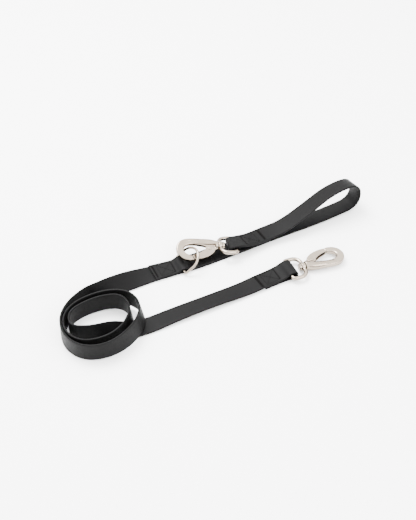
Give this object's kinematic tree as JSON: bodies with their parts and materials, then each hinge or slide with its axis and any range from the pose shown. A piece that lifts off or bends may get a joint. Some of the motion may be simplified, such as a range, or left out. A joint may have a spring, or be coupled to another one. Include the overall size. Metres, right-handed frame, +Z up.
{
  "type": "training leash",
  "caption": "Adjustable flat webbing training leash with a swivel snap hook at each end and a sewn D-ring, laid out with a coil and a hand loop.",
  "frame": {"origin": "bottom centre of the laid-out leash's bounding box, on the surface it lies on", "axes": "+X to the right along the longest extent, +Z up"},
  "size_m": [0.3791, 0.2918, 0.0456],
  "materials": {
    "webbing": "matte black flat webbing with a fine woven surface",
    "thread": "black bonded sewing thread",
    "plated_metal": "polished nickel plating with a faint warm tint",
    "spring_steel": "dull spring steel wire"
  },
  "bodies": {
    "strap": {"strap_lead": "webbing", "strap_coil_inner": "webbing", "strap_coil_outer": "webbing", "strap_mid": "webbing", "strap_grip_lower": "webbing", "strap_grip_turn": "webbing", "strap_grip_upper": "webbing", "strap_lead_fold": "webbing", "strap_grip_fold": "webbing", "ring_keeper": "webbing", "stitch_lead": "thread", "stitch_grip": "thread", "stitch_keeper_coil_side": "thread", "stitch_keeper_grip_side": "thread"},
    "ring": {"d_ring": "plated_metal"},
    "lead_eye": {"lead_eye": "plated_metal"},
    "lead_hook": {"lead_hook_body": "plated_metal", "lead_stem": "plated_metal", "lead_gate_pin": "plated_metal", "lead_gate_spring": "spring_steel"},
    "lead_gate": {"lead_gate": "plated_metal"},
    "grip_eye": {"grip_eye": "plated_metal"},
    "grip_hook": {"grip_hook_body": "plated_metal", "grip_stem": "plated_metal", "grip_gate_pin": "plated_metal", "grip_gate_spring": "spring_steel"},
    "grip_gate": {"grip_gate": "plated_metal"}
  },
  "joints": [
    {"name": "ring_pivot", "type": "hinge", "parent": "strap", "child": "ring", "pos_m": [-0.04714, 0.00974, 0.00442], "axis": [-0.3841, 0.9233, 0.0002], "range_deg": [-0.15, 0.15]},
    {"name": "lead_eye_pivot", "type": "hinge", "parent": "strap", "child": "lead_eye", "pos_m": [0.0882, -0.0014, 0.0071], "axis": [-0.342, 0.9397, 0], "range_deg": [-85, 0]},
    {"name": "lead_swivel", "type": "hinge", "parent": "lead_eye", "child": "lead_hook", "pos_m": [0.11073, 0.0068, 0.00685], "axis": [0.9396, 0.342, -0.0105], "continuous": true},
    {"name": "lead_gate_hinge", "type": "hinge", "parent": "lead_hook", "child": "lead_gate", "pos_m": [0.1183, 0.01494, 0.00675], "axis": [0.0098, 0.0036, 0.9999], "range_deg": [-25, 0], "stiffness_Nm_per_rad": 0.03, "springref_deg": 14.32, "deforming": ["lead_gate_spring"]},
    {"name": "grip_eye_pivot", "type": "hinge", "parent": "strap", "child": "grip_eye", "pos_m": [0.0216, 0.0408, 0.0104], "axis": [0.1919, -0.9662, 0.1724], "range_deg": [-0.1, 0.1]},
    {"name": "grip_swivel", "type": "hinge", "parent": "grip_eye", "child": "grip_hook", "pos_m": [-0.00184, 0.03667, 0.01332], "axis": [-0.9775, -0.1723, 0.1219], "range_deg": [-0.2, 0.2]},
    {"name": "grip_gate_hinge", "type": "hinge", "parent": "grip_hook", "child": "grip_gate", "pos_m": [-0.0109, 0.03024, 0.01281], "axis": [0.1722, -0.3169, 0.9327], "range_deg": [-16, 0], "stiffness_Nm_per_rad": 0.03, "springref_deg": 14.32, "deforming": ["grip_gate_spring"]}
  ]
}
